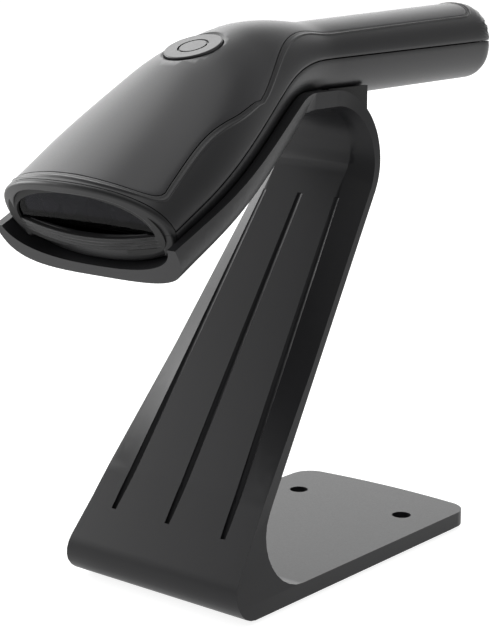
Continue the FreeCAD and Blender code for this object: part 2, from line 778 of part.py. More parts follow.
curl_sections = []
curl_steps = 7
sweep_total = lean + math.pi / 2.0
for i in range(curl_steps + 1):
    share = i / float(curl_steps)
    turn = -lean + sweep_total * share
    y = curl_centre_y + curl_radius * math.cos(turn)
    z = curl_centre_z + curl_radius * math.sin(turn)
    wide = curl_half_width_low + (curl_half_width_top - curl_half_width_low) * min(1.0, share * 1.25)
    depth = neck_channel_depth + (curl_channel_depth - neck_channel_depth) * share
    rim = neck_rim_thickness + (curl_rim_thickness - neck_rim_thickness) * share
    curl_sections.append(strap_section(y, z, turn, wide, curl_channel_half_width, depth, rim))
curl = Part.makeLoft(curl_sections, True, False)

top_sections = []
arm_turn = math.radians(arm_pitch)
for k, bend in enumerate((0.0, 0.0, 0.6)):
    y = curl_centre_y
    z = curl_centre_z + curl_radius
    turn = math.pi / 2.0 + arm_turn * bend
    if k > 0:
        y = y - curl_flat
        y = y + arm_bend_radius * math.cos(turn)
        z = z - arm_bend_radius + arm_bend_radius * math.sin(turn)
    wide = curl_half_width_top + 0.5 * k
    depth = curl_channel_depth + 0.8 * k
    top_sections.append(strap_section(y, z, turn, wide, curl_channel_half_width, depth, curl_rim_thickness))
arm_root = Part.makeLoft(top_sections, True, True)

# heel: the outer bend under the neck and the inner fillet onto the base
def arc_points(cy, cz, radius, start, end, steps):
    """Points of an arc in the YZ plane, angles in degrees from +Y towards +Z."""
    result = []
    for i in range(steps + 1):
        a = math.radians(start + (end - start) * i / float(steps))
        result.append((cy + radius * math.cos(a), cz + radius * math.sin(a)))
    return result


heel_line = [(front_foot_y, foot_z)]
heel_line += arc_points(heel_centre_y, heel_centre_z, heel_radius, 180.0 - neck_lean, 270.0, 8)
heel_line += [(fillet_centre_y, pad_thickness), (fillet_centre_y, base_top)]
heel_line += arc_points(fillet_centre_y, fillet_centre_z, heel_fillet, 270.0, 180.0 - neck_lean, 10)
heel_line += [(neck_back(foot_z), foot_z)]
heel_block = side_prism(heel_line, base_half_width)
foot_half_width = neck_half_width(foot_z)
heel_wedge = Part.makePolygon(
    [
        Vector(-base_half_width, -200, 0),
        Vector(base_half_width, -200, 0),
        Vector(base_half_width, -200, base_top),
        Vector(foot_half_width, -200, foot_z + 0.01),
        Vector(-foot_half_width, -200, foot_z + 0.01),
        Vector(-base_half_width, -200, base_top),
        Vector(-base_half_width, -200, 0),
    ]
)
heel = heel_block.common(Part.Face(heel_wedge).extrude(Vector(0, 300, 0)))

# ---------------------------------------------------------------- stand: cradle that follows the scanner
rim_y0 = curl_centre_y - curl_flat - arm_bend_radius * math.sin(arm_turn)
rim_z0 = curl_centre_z + curl_radius - arm_bend_radius * (1.0 - math.cos(arm_turn))
rim_far_y = nose_y - 30.0
rim_far_z = rim_z0 + (rim_far_y - rim_y0) * math.tan(arm_turn)
flat_y = curl_centre_y - curl_flat
rim_centre_z = rim_z0 - arm_bend_radius * math.cos(arm_turn)
rim_bend = arc_points(flat_y, rim_centre_z, arm_bend_radius, 90.0 + arm_pitch, 90.0, 6)
rim_line = [(rim_far_y, rim_far_z)] + rim_bend + [(curl_centre_y, curl_centre_z + curl_radius)]
below_rim = side_prism(rim_line + [(curl_centre_y, 60.0), (rim_far_y, 60.0)], 60.0)
cradle_end = bend_end - 1.0
cradle_wires = []
for distance in [-12.0] + [d for d in station_list if 0.0 <= d < cradle_end - 3.0] + [cradle_end]:
    rearward = smooth_step(distance, head_length - 15.0, cradle_end - 4.0)
    floor = cradle_floor + (cradle_floor_rear - cradle_floor) * rearward
    side_grow = cradle_clearance + cradle_wall
    cradle_wires.append(section_wire(distance, side_grow, cradle_clearance + floor, cradle_squareness))
cradle_outer = Part.makeLoft(cradle_wires, True, False)
cradle = cradle_outer.common(below_rim).cut(in_front_of_nose(cradle_front_step))
scanner_room = body_loft(cradle_clearance).cut(in_front_of_nose(60.0))
cradle = cradle.cut(scanner_room)

# lengthwise grooves on the neck's front
groove_cutters = []
run_end = neck_top_z - 6.0


def front_point(z, x_share, proud):
    """Point in front of the neck's face; x_share is 0 on the middle and 1 at the channel's edge."""
    channel, depth, rim = neck_profile((z - foot_z) / (neck_top_z - foot_z))
    out = depth + strap_wall + proud
    return Vector(x_share * (channel + 1.4), neck_back(z) - out * math.cos(lean), z + out * math.sin(lean))


for x_share in (-1, 0, 1):
    low = front_point(foot_z, x_share, 0.0)
    high = front_point(run_end, x_share, groove_width_top / 2.0)
    along = (high - low).normalize()
    low = low - along * 14.0
    length = (high - low).Length
    cone = Part.makeCone(groove_width_foot / 2.0 + 0.4, groove_width_top / 2.0 + 0.4, length, low, along)
    groove_cutters.append(cone)

for cutter in groove_cutters:
    neck = neck.cut(cutter)
    heel = heel.cut(cutter)
stand_body = fuse([base_slab, heel, neck, curl, arm_root, cradle]).cut(pocket)
for bolt_hole in holes:
    stand_body = stand_body.cut(bolt_hole)
stand_body = solid_of(stand_body.cut(scanner_room))

# a block in the curl's channel carries the handle
rest_top = on_section(bend_end, 0.0, -handle_bottom - cradle_clearance).z
rest_block = box(
    -rest_half_width,
    rest_half_width,
    rest_front_y,
    rest_rear_y,
    rest_top - rest_thickness,
    rest_top + rest_saddle,
)
handle_rest = solid_of(rest_block.cut(stand_body).cut(scanner_room))

# ---------------------------------------------------------------- write the pieces
parts = {
    "stand_body": stand_body,
    "handle_rest": handle_rest,
    "base_ballast": base_ballast,
    "base_pad": base_pad,
    "lower_housing": lower_housing,
    "upper_housing": upper_housing,
    "top_cover": top_cover,
    "nose_bezel": nose_bezel,
    "window_gasket": window_gasket,
    "scan_window": scan_window,
    "trigger_button": trigger_button,
    "switch_plunger": switch_plunger,
    "trigger_switch": trigger_switch,
    "trigger_board": trigger_board,
    "trigger_board_screws": trigger_board_screws,
    "scan_chassis": scan_chassis,
    "lens_barrel": lens_barrel,
    "lens_glass": lens_glass,
    "image_sensor": image_sensor,
    "led_board": led_board,
    "illumination_leds": illumination_leds,
    "flex_cable": flex_cable,
    "main_board": main_board,
    "main_board_screws": main_board_screws,
    "board_chips": board_chips,
    "beeper": beeper,
    "cable_socket": cable_socket,
}

whole = Part.makeCompound(list(parts.values())).optimalBoundingBox(False, False)
origin_y = round((whole.YMin + whole.YMax) / 2.0, 3)
os.makedirs("parts", exist_ok=True)
for name, shape in parts.items():
    shape.translate(Vector(0, -origin_y, 0))
    shape.exportStep(os.path.join("parts", name + ".step"))
    print(name, "solids", len(shape.Solids), "volume", round(shape.Volume, 1), "valid", shape.isValid())
print("origin moved back by", origin_y)
print("whole", round(whole.XLength, 2), round(whole.YLength, 2), round(whole.ZLength, 2))
print("trigger", [round(c, 3) for c in button_centre - Vector(0, origin_y, 0)])
inlet = handle_place(Part.Vertex(0, socket_y1, socket_low + socket_height / 2.0)).Point
print("inlet", [round(c, 3) for c in inlet - Vector(0, origin_y, 0)])
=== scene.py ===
import math
import bpy
import bmesh
from mathutils import Matrix, Vector


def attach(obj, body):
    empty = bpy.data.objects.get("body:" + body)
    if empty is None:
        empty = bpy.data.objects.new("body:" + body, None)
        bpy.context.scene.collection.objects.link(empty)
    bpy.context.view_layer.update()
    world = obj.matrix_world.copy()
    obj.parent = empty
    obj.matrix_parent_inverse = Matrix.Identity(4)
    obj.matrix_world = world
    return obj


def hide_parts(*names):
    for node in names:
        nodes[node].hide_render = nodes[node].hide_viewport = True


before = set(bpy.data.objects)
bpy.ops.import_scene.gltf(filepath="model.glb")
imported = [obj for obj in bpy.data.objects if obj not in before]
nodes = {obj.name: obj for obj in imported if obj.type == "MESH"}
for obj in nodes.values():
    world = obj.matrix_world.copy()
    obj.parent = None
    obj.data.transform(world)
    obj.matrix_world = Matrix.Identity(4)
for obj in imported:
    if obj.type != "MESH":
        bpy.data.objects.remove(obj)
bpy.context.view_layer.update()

scene = bpy.context.scene
scene.view_settings.view_transform = "Standard"
mm = 0.001
print("frame loaded:", len(nodes), "nodes")


# ---- small helpers
def srgb(code, alpha=1.0):
    # hex as picked on a screen, turned into the linear colour a shader wants
    parts = [int(code[i:i + 2], 16) / 255.0 for i in (1, 3, 5)]
    linear = [c / 12.92 if c <= 0.04045 else ((c + 0.055) / 1.055) ** 2.4 for c in parts]
    return (*linear, alpha)


def addNode(tree, kind, settings=None, links=None):
    # one shader node, its values by socket or property name, its links as socket: (node, output)
    node = tree.nodes.new(kind)
    for key, value in (settings or {}).items():
        if isinstance(key, int) or key in node.inputs:
            node.inputs[key].default_value = value
        else:
            setattr(node, key, value)
    for key, (source, output) in (links or {}).items():
        tree.links.new(source.outputs[output], node.inputs[key])
    return node


def newMaterial(name):
    material = bpy.data.materials.new(name)
    material.use_nodes = True
    tree = material.node_tree
    tree.nodes.clear()
    return material, tree


def smoothStep(value, low, high):
    share = min(1.0, max(0.0, (value - low) / (high - low)))
    return share * share * (3.0 - 2.0 * share)


# ---- camera
camera = {
    "place": (341.8 * mm, -431.0 * mm, 197.6 * mm),
    "turn": 39.579,
    "fall": 12.230,
    "lens": 99.82,
}
cameraData = bpy.data.cameras.new("camera")
cameraData.lens = camera["lens"]
cameraData.sensor_width = 36.0
cameraData.sensor_fit = "AUTO"
cameraData.clip_start = 0.01
cameraObject = bpy.data.objects.new("camera", cameraData)
scene.collection.objects.link(cameraObject)
cameraObject.location = camera["place"]
cameraObject.rotation_euler = (math.radians(90.0 - camera["fall"]), 0.0, math.radians(camera["turn"]))
scene.camera = cameraObject


# ---- materials
def mouldedPlastic(name, values):
    # moulded ABS: a dark dyed body under a thin sheen, spark-eroded grain that softens the gloss
    material, tree = newMaterial(name)
    out = addNode(tree, "ShaderNodeOutputMaterial")
    coords = addNode(tree, "ShaderNodeTexCoord")
    cloud = addNode(tree, "ShaderNodeTexNoise", {"Scale": 1.0 / values["cloudSize"], "Detail": 2.0},
                    {"Vector": (coords, "Object")})
    grain = addNode(tree, "ShaderNodeTexNoise", {"Scale": 1.0 / values["grainSize"], "Detail": 3.0},
                    {"Vector": (coords, "Object")})
    tint = addNode(tree, "ShaderNodeMix", {"data_type": "RGBA"}, {0: (cloud, "Fac")})
    tint.inputs[6].default_value = srgb(values["dark"])
    tint.inputs[7].default_value = srgb(values["light"])
    gloss = addNode(tree, "ShaderNodeMapRange", {"To Min": values["roughLow"], "To Max": values["roughHigh"]},
                    {"Value": (grain, "Fac")})
    bump = addNode(tree, "ShaderNodeBump", {"Strength": values["bump"], "Distance": values["bumpDepth"]},
                   {"Height": (grain, "Fac")})
    shader = addNode(tree, "ShaderNodeBsdfPrincipled", {
        "IOR": values.get("ior", 1.5), "Metallic": values.get("metal", 0.0),
        "Transmission Weight": values.get("clear", 0.0), "Specular IOR Level": values.get("shine", 0.5),
    }, {"Base Color": (tint, 2), "Roughness": (gloss, "Result"), "Normal": (bump, "Normal")})
    tree.links.new(shader.outputs[0], out.inputs[0])
    return material


def circuitBoard(name, values):
    # green solder mask: lighter lines where copper tracks lie under it, bare tin pads in rows
    material, tree = newMaterial(name)
    out = addNode(tree, "ShaderNodeOutputMaterial")
    coords = addNode(tree, "ShaderNodeTexCoord")
    tracks = addNode(tree, "ShaderNodeTexBrick", {
        "Scale": 1.0 / values["pitch"], "Mortar Size": 0.08, "Color1": srgb(values["mask"]),
        "Color2": srgb(values["mask"]), "Mortar": srgb(values["track"])}, {"Vector": (coords, "Object")})
    dots = addNode(tree, "ShaderNodeTexVoronoi", {"Scale": 1.0 / values["padPitch"], "Randomness": 0.25},
                   {"Vector": (coords, "Object")})
    padMask = addNode(tree, "ShaderNodeMath", {"operation": "LESS_THAN", 1: 0.22}, {0: (dots, "Distance")})
    tint = addNode(tree, "ShaderNodeMix", {"data_type": "RGBA"}, {0: (padMask, 0), 6: (tracks, "Color")})
    tint.inputs[7].default_value = srgb(values["tin"])
    shader = addNode(tree, "ShaderNodeBsdfPrincipled", {"Roughness": 0.3},
                     {"Base Color": (tint, 2), "Metallic": (padMask, 0)})
    tree.links.new(shader.outputs[0], out.inputs[0])
    return material


def tintedSheet(name, values):
    # smoked acrylic: dark but see-through, a faint mirror at its face, uneven where dust lies on it
    material, tree = newMaterial(name)
    out = addNode(tree, "ShaderNodeOutputMaterial")
    coords = addNode(tree, "ShaderNodeTexCoord")
    dust = addNode(tree, "ShaderNodeTexNoise", {"Scale": 1.0 / values["dustSize"], "Detail": 4.0},
                   {"Vector": (coords, "Object")})
    tint = addNode(tree, "ShaderNodeMix", {"data_type": "RGBA"}, {0: (dust, "Fac")})
    tint.inputs[6].default_value = srgb(values["dark"])
    tint.inputs[7].default_value = srgb(values["light"])
    through = addNode(tree, "ShaderNodeBsdfTransparent", {}, {"Color": (tint, 2)})
    mirror = addNode(tree, "ShaderNodeBsdfAnisotropic", {"Roughness": values["rough"]})
    rim = addNode(tree, "ShaderNodeFresnel", {"IOR": values["ior"]})
    both = addNode(tree, "ShaderNodeMixShader", {}, {0: (rim, 0), 1: (through, 0), 2: (mirror, 0)})
    tree.links.new(both.outputs[0], out.inputs[0])
    return material


def giveMaterial(target, material):
    slots = target.data.materials
    if len(slots) == 0:
        slots.append(material)
    for i in range(len(slots)):
        slots[i] = material


satin = {"dark": "#161617", "light": "#1b1b1d", "cloudSize": 0.03, "grainSize": 0.0005,
         "roughLow": 0.34, "roughHigh": 0.46, "bump": 0.10, "bumpDepth": 0.00005, "ior": 1.5}
plastics = {
    "standAbs": satin | {"shine": 0.22},
    "housingAbs": satin | {"dark": "#151516", "light": "#19191b", "shine": 0.42},
    "coverAbs": satin | {"dark": "#1b1b1d", "light": "#202022", "roughLow": 0.36, "roughHigh": 0.44,
                         "bump": 0.06},
    "buttonAbs": satin | {"dark": "#1c1c1e", "light": "#222224", "bump": 0.04},
    "bezelAbs": satin | {"dark": "#111112", "light": "#161617", "shine": 0.3},
    "gasketRubber": satin | {"dark": "#0c0c0c", "light": "#121212", "roughLow": 0.7, "roughHigh": 0.85},
    "restRubber": satin | {"dark": "#101010", "light": "#171717", "roughLow": 0.7, "roughHigh": 0.9,
                           "bump": 0.3},
    "coatedGlass": satin | {"dark": "#b9c4d6", "light": "#c8d0e4", "roughLow": 0.01, "roughHigh": 0.02,
                            "bump": 0.0, "clear": 0.9, "ior": 1.52},
    "zincedSteel": satin | {"dark": "#8f9296", "light": "#aeb0b3", "metal": 1.0, "roughLow": 0.25,
                            "roughHigh": 0.45, "cloudSize": 0.004},
    "blackAnodised": satin | {"dark": "#1c1c1f", "light": "#26262a", "metal": 0.8, "roughLow": 0.3},
    "engineNylon": satin | {"dark": "#1a1a1b", "light": "#222223", "roughLow": 0.5, "roughHigh": 0.65},
    "sensorPackage": satin | {"dark": "#241f2c", "light": "#2c2638", "roughLow": 0.08, "roughHigh": 0.15,
                              "bump": 0.0},
    "ledResin": satin | {"dark": "#e3dbc4", "light": "#f0e8d2", "roughLow": 0.12, "roughHigh": 0.2,
                         "bump": 0.0, "clear": 0.35},
    "amberFilm": satin | {"dark": "#a8641c", "light": "#c07a28", "roughLow": 0.15, "roughHigh": 0.25,
                          "cloudSize": 0.0012},
    "chipEpoxy": satin | {"dark": "#131314", "light": "#1a1a1a", "roughLow": 0.45, "roughHigh": 0.6},
    "beeperShell": satin | {"dark": "#161616", "light": "#1e1e1e", "roughLow": 0.25, "roughHigh": 0.35},
    "switchShell": satin | {"dark": "#2a2a2b", "light": "#333334"},
    "plungerRed": satin | {"dark": "#9c2c22", "light": "#ad362a"},
    "socketPbt": satin | {"dark": "#141414", "light": "#1c1c1c", "roughLow": 0.5, "roughHigh": 0.65},
}
boardMask = {"mask": "#1d5a37", "track": "#2f7a4d", "tin": "#c9cac6", "pitch": 0.0022, "padPitch": 0.0028}
materials = {name: mouldedPlastic(name, values) for name, values in plastics.items()}
materials["solderMask"] = circuitBoard("solderMask", boardMask)
smoked = {"dark": "#82828a", "light": "#8e8e96", "dustSize": 0.004, "rough": 0.05, "ior": 1.12}
materials["smokedAcrylic"] = tintedSheet("smokedAcrylic", smoked)
nodeMaterials = {
    "stand_body": "standAbs", "handle_rest": "restRubber", "base_ballast": "zincedSteel",
    "base_pad": "restRubber", "lower_housing": "housingAbs", "upper_housing": "housingAbs",
    "top_cover": "coverAbs", "nose_bezel": "bezelAbs", "window_gasket": "gasketRubber",
    "scan_window": "smokedAcrylic", "trigger_board": "solderMask", "trigger_switch": "switchShell",
    "trigger_board_screws": "zincedSteel", "scan_chassis": "engineNylon", "lens_barrel": "blackAnodised",
    "lens_glass": "coatedGlass", "image_sensor": "sensorPackage", "led_board": "solderMask",
    "illumination_leds": "ledResin", "flex_cable": "amberFilm", "main_board": "solderMask",
    "main_board_screws": "zincedSteel", "board_chips": "chipEpoxy", "beeper": "beeperShell",
    "cable_socket": "socketPbt", "trigger_button": "buttonAbs", "switch_plunger": "plungerRed",
}
for name in nodes:
    giveMaterial(nodes[name], materials[nodeMaterials[name]])
print("materials:", len(materials))


# ---- the scanner's skin: sections stand square on a bent spine
bodyShape = {
    "headPitch": 28.0, "handlePitch": 1.0, "headLength": 79.0, "bendRadius": 56.0, "handleLength": 98.0,
    "bendEndY": 2.154, "bendEndZ": 160.63, "noseHalf": 32.0, "handleHalf": 14.0, "noseTop": 16.4,
    "topRise": 0.087, "handleTop": 10.5, "handleRise": 0.022, "noseLow": 12.2, "handleLow": 13.6,
    "roundUpper": 2.1, "roundLower": 2.5, "endRound": 4.0, "nosePitch": 33.0, "noseBow": 0.0035,
    "taperStart": 20.0, "taperOverrun": 9.6, "shoulderLead": 24.0, "shoulderOverrun": 6.6, "dropReach": 10.0,
    "noseAt": 1.8, "faceRun": 10.0, "faceClose": 0.98,
}
halvings = 34  # steps of each search for a place on the skin
headTurn = math.radians(bodyShape["headPitch"])
handleTurn = math.radians(bodyShape["handlePitch"])
bendLength = bodyShape["bendRadius"] * (headTurn - handleTurn)
bendEnd = bodyShape["headLength"] + bendLength
roundStart = bendEnd + bodyShape["handleLength"] - bodyShape["endRound"]
roundRun = bodyShape["endRound"] * math.pi / 2.0
poleAt = roundStart + roundRun + bodyShape["faceRun"]
bendY = bodyShape["bendEndY"] + bodyShape["bendRadius"] * math.sin(handleTurn)
bendZ = bodyShape["bendEndZ"] - bodyShape["bendRadius"] * math.cos(handleTurn)
noseY = bendY - bodyShape["bendRadius"] * math.sin(headTurn) - bodyShape["headLength"] * math.cos(headTurn)
noseZ = bendZ + bodyShape["bendRadius"] * math.cos(headTurn) - bodyShape["headLength"] * math.sin(headTurn)


def spinePoint(d):
    if d <= bodyShape["headLength"]:
        return noseY + d * math.cos(headTurn), noseZ + d * math.sin(headTurn), headTurn
    if d <= bendEnd:
        turn = headTurn - (d - bodyShape["headLength"]) / bodyShape["bendRadius"]
        return (bendY - bodyShape["bendRadius"] * math.sin(turn),
                bendZ + bodyShape["bendRadius"] * math.cos(turn), turn)
    run = d - bendEnd
    return (bodyShape["bendEndY"] + run * math.cos(handleTurn),
            bodyShape["bendEndZ"] + run * math.sin(handleTurn), handleTurn)


def sectionSizes(d):
    narrow = smoothStep(d, bodyShape["taperStart"], bendEnd + bodyShape["taperOverrun"])
    wide = bodyShape["noseHalf"] + (bodyShape["handleHalf"] - bodyShape["noseHalf"]) * narrow
    onHead = bodyShape["noseTop"] + bodyShape["topRise"] * d
    onHandle = bodyShape["handleTop"] + bodyShape["handleRise"] * (d - bendEnd)
    shoulder = smoothStep(d, bodyShape["headLength"] - bodyShape["shoulderLead"],
                          bendEnd + bodyShape["shoulderOverrun"])
    high = onHead + (onHandle - onHead) * shoulder
    drop = smoothStep(d, bodyShape["headLength"] - bodyShape["dropReach"], bendEnd + bodyShape["dropReach"])
    low = bodyShape["noseLow"] + (bodyShape["handleLow"] - bodyShape["noseLow"]) * drop
    return wide, high, low


def skinPoint(d, t, proud=0.0):
    # d runs along the spine, t is the angle round the section
    # behind roundStart the end cap rounds over and closes to a point
    shrink = 0.0
    scale = 1.0
    place = d
    if d > roundStart:
        turn = min(1.0, (d - roundStart) / roundRun) * math.pi / 2.0
        place = roundStart + bodyShape["endRound"] * math.sin(turn)
        shrink = bodyShape["endRound"] * (1.0 - math.cos(turn))
        onFace = max(0.0, d - roundStart - roundRun)
        scale = 1.0 - bodyShape["faceClose"] * onFace / (poleAt - roundStart - roundRun)
    wide, high, low = sectionSizes(place)
    c, s = math.cos(t), math.sin(t)
    power = 2.0 / (bodyShape["roundUpper"] if s >= 0.0 else bodyShape["roundLower"])
    tall = high if s >= 0.0 else low
    grow = proud - shrink
    x = (wide + grow) * scale * math.copysign(abs(c) ** power, c)
    h = (tall + grow) * scale * math.copysign(abs(s) ** power, s)
    y, z, turn = spinePoint(place)
    return Vector((x, y - h * math.sin(turn), z + h * math.cos(turn)))


nosePitch = math.radians(bodyShape["nosePitch"])
noseOut = Vector((0.0, -math.cos(nosePitch), -math.sin(nosePitch)))
noseUp = Vector((0.0, -math.sin(nosePitch), math.cos(nosePitch)))
centreY, centreZ, turn = spinePoint(bodyShape["noseAt"])
noseCentre = Vector((0.0, centreY, centreZ))


def noseDepth(point):
    # how far behind the slightly bowed nose face a point lies
    return -(point - noseCentre).dot(noseOut) - bodyShape["noseBow"] * point.x ** 2


def alongForDepth(t, depth):
    low, high = -12.0, 60.0
    for _ in range(halvings):
        middle = (low + high) / 2.0
        if noseDepth(skinPoint(middle, t)) < depth:
            low = middle
        else:
            high = middle
    return low


sharpFrom = 50.0  # degrees between faces from which a shell's edge is softened


def addPiece(name, across, along, place, values, material, outward, nodeNames, body, cutters=()):
    # a grid of quads bent into shape, given a wall, cut by the cutters and softened at its edges
    mesh = bmesh.new()
    bmesh.ops.create_grid(mesh, x_segments=across, y_segments=along, size=0.5)
    for vert in mesh.verts:
        i = round((vert.co.x + 0.5) * across)
        j = round((vert.co.y + 0.5) * along)
        vert.co = place(i, j) * mm
    bmesh.ops.remove_doubles(mesh, verts=mesh.verts, dist=0.00002)
    bmesh.ops.recalc_face_normals(mesh, faces=mesh.faces)
    facing = sum(f.normal.dot(outward(f.calc_center_median() / mm)) * f.calc_area() for f in mesh.faces)
    if facing < 0.0:
        bmesh.ops.reverse_faces(mesh, faces=mesh.faces)
    for face in mesh.faces:
        face.smooth = True
    data = bpy.data.meshes.new(name)
    mesh.to_mesh(data)
    mesh.free()
    data.materials.append(material)
    piece = bpy.data.objects.new(name, data)
    scene.collection.objects.link(piece)
    wall = piece.modifiers.new("wall", "SOLIDIFY")
    wall.thickness = values["wall"] * mm
    wall.offset = -1.0
    wall.use_even_offset = False
    for cutter in cutters:
        step = piece.modifiers.new("cut", "BOOLEAN")
        step.operation = "DIFFERENCE"
        step.solver = "EXACT"
        step.object = cutter
    if cutters:
        cutMesh = bpy.data.meshes.new_from_object(piece.evaluated_get(bpy.context.evaluated_depsgraph_get()))
        piece.modifiers.clear()
        piece.data = cutMesh
    soft = piece.modifiers.new("softEdge", "BEVEL")
    soft.width = values["soft"] * mm
    soft.segments = 2
    soft.limit_method = "ANGLE"
    soft.angle_limit = math.radians(sharpFrom)
    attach(piece, body)
    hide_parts(*nodeNames)
    return piece


def fromSpine(point):
    # arrow from the nearest of some stations on the spine out to the point
    stations = [Vector((0.0, *spinePoint(float(d))[:2])) for d in range(0, 200, 4)]
    near = min(stations, key=lambda at: (point.y - at.y) ** 2 + (point.z - at.z) ** 2)
    return point - near


# ---- holes: cutters are drawn about their own axis, then moved onto it
def addCutter(name, build, moves):
    mesh = bmesh.new()
    build(mesh)
    bmesh.ops.recalc_face_normals(mesh, faces=mesh.faces)
    mesh.transform(moves)
    data = bpy.data.meshes.new(name)
    mesh.to_mesh(data)
    mesh.free()
    cutter = bpy.data.objects.new(name, data)
    scene.collection.objects.link(cutter)
    return cutter


holeShape = {
    "radius": 9.15, "rim": 10.8, "dish": 0.7, "along": 67.2, "height": 20.2, "pitch": 20.0,
    "below": 0.2, "coneHigh": 3.0, "boreDeep": 8.0, "segments": 72,
}
socketShape = {"x": 12.8, "y": 12.0, "z": 11.4, "atY": 97.0, "atZ": 161.6}
holeY, holeZ, turn = spinePoint(holeShape["along"])
holeAt = Vector((0.0, holeY - holeShape["height"] * math.sin(turn),
                 holeZ + holeShape["height"] * math.cos(turn)))
holeFrame = Matrix.Translation(holeAt * mm) @ Matrix.Rotation(math.radians(holeShape["pitch"]), 4, "X")


def dishAndHole(mesh):
    # a shallow cone over a straight bore
    slope = (holeShape["rim"] - holeShape["radius"]) / holeShape["dish"]
    low = -holeShape["dish"] - holeShape["below"]
    high = holeShape["coneHigh"]
    bmesh.ops.create_cone(mesh, cap_ends=True, segments=holeShape["segments"],
                          radius1=holeShape["radius"] * mm, radius2=(holeShape["radius"] + slope * high) * mm,
                          depth=high * mm,
                          matrix=Matrix.Translation((0.0, 0.0, (low + high / 2.0) * mm)))
    mesh.normal_update()
    bottom = [f for f in mesh.faces if f.calc_center_median().z < (low + 0.1) * mm]
    grown = bmesh.ops.extrude_face_region(mesh, geom=bottom)
    moved = [v for v in grown["geom"] if isinstance(v, bmesh.types.BMVert)]
    bmesh.ops.translate(mesh, verts=moved, vec=(0.0, 0.0, -holeShape["boreDeep"] * mm))
    for face in [f for f in bottom if f.is_valid]:
        mesh.faces.remove(face)


def inletBox(mesh):
    # room for the cable socket in the handle's end
    sides = (socketShape["x"] * mm, socketShape["y"] * mm, socketShape["z"] * mm, 1.0)
    bmesh.ops.create_cube(mesh, size=1.0, matrix=Matrix.Diagonal(sides))


buttonCutter = addCutter("buttonHole", dishAndHole, holeFrame)
socketAt = (0.0, socketShape["atY"] * mm, socketShape["atZ"] * mm)
socketCutter = addCutter("socketHole", inletBox, Matrix.Translation(socketAt))


# ---- outline of the inset cover, as (along, angle) places on the skin
coverShape = {
    "front": 4.6, "margin": 4.0, "corner": 8.2, "headMargin": 6.6, "handleMargin": 4.0,
    "endInset": 8.0, "endCorner": 6.0, "gap": 0.28,
    "cornerX": 0.9, "cornerY": 1.05, "cornerRun": 1.15, "narrowLead": 32.0, "narrowInset": 1.4,
    "easeFrom": 8.0, "easeTo": 40.0,
}
seamAngle = 0.004  # radians above the widest line at which the upper housing ends


def skinPlace(x, y):
    # along and angle of the upper skin's point over a place in plan
    low, high = -9.0, roundStart + 2.0
    for _ in range(halvings):
        middle = (low + high) / 2.0
        wide, tall, bottom = sectionSizes(middle)
        c = min(1.0, (abs(x) / wide)) ** (bodyShape["roundUpper"] / 2.0)
        t = math.acos(c)
        if skinPoint(middle, t).y < y:
            low = middle
        else:
            high = middle
    return low, t


def coverOutline():
    y, z, turn = spinePoint(0.0)
    front = y - bodyShape["noseTop"] * math.sin(turn) + coverShape["front"]
    rear = spinePoint(bendEnd + bodyShape["handleLength"])[0] - coverShape["endInset"]
    wide = bodyShape["noseHalf"] - coverShape["margin"]
    corner = coverShape["corner"]
    plan = []
    for k in range(13):
        swing = math.pi / 2.0 * k / 12.0
        forward = (1.0 - math.cos(swing)) ** coverShape["cornerY"]
        plan.append((wide * math.sin(swing) ** coverShape["cornerX"],
                     front + corner * forward * coverShape["cornerRun"]))
    onHead = bodyShape["noseHalf"] - coverShape["headMargin"]
    onHandle = bodyShape["handleHalf"] - coverShape["handleMargin"]
    for k in range(1, 61):
        share = k / 60.0
        y = plan[12][1] + (rear - coverShape["endCorner"] - plan[12][1]) * share
        d = skinPlace(onHandle, y)[0] if share > 0.5 else skinPlace(onHead, y)[0]
        narrow = smoothStep(d, bodyShape["headLength"] - coverShape["narrowLead"],
                            bendEnd - coverShape["narrowInset"])
        x = onHead + (onHandle - onHead) * narrow
        ease = 1.0 - smoothStep(d, coverShape["easeFrom"], coverShape["easeTo"])
        x += (coverShape["headMargin"] - coverShape["margin"]) * ease
        plan.append((x, y))
    for k in range(1, 9):
        swing = math.pi / 2.0 * k / 8.0
        r = coverShape["endCorner"]
        plan.append((onHandle - r + r * math.cos(swing), rear - r + r * math.sin(swing)))
    plan.append(((onHandle - coverShape["endCorner"]) / 2.0, rear))
    plan.append((0.0, rear))
    return [skinPlace(x, y) for x, y in plan]


coverEdge = coverOutline()
frontCount, sideCount = 12, 72
halfCount = len(coverEdge) - 1
print("cover outline points:", len(coverEdge))


def mirrorX(point, side):
    return Vector((point.x * side, point.y, point.z))


# ---- cover: rows run from one edge point over the top to the same point on the other side
coverPiece = {"wall": 3.2, "soft": 0.22, "across": 36}


def coverPlace(i, j):
    d, t = coverEdge[j]
    share = 2.0 * i / coverPiece["across"] - 1.0
    side = 1.0 if share >= 0.0 else -1.0
    x = abs(skinPoint(d, t).x) * abs(share)
    y = skinPoint(d, t).y
    if abs(share) < 0.999:
        # the row keeps its plan line, so the round front corner stays even
        dd, tt = skinPlace(x, y)
        return mirrorX(skinPoint(dd, tt), side)
    return mirrorX(skinPoint(d, t), side)


addPiece("coverSkin", coverPiece["across"], halfCount, coverPlace, coverPiece, materials["coverAbs"],
         fromSpine, ["top_cover"], "scanner", [buttonCutter])

# ---- upper housing: the band between the cover's edge, the nose seam and the main seam
upperPiece = {
    "wall": 2.0, "soft": 0.2, "noseSeam": 1.7, "beadAt": 1.45, "beadHalf": 0.5, "bead": 0.3, "rows": 16,
    "poleGap": 2.0,
}


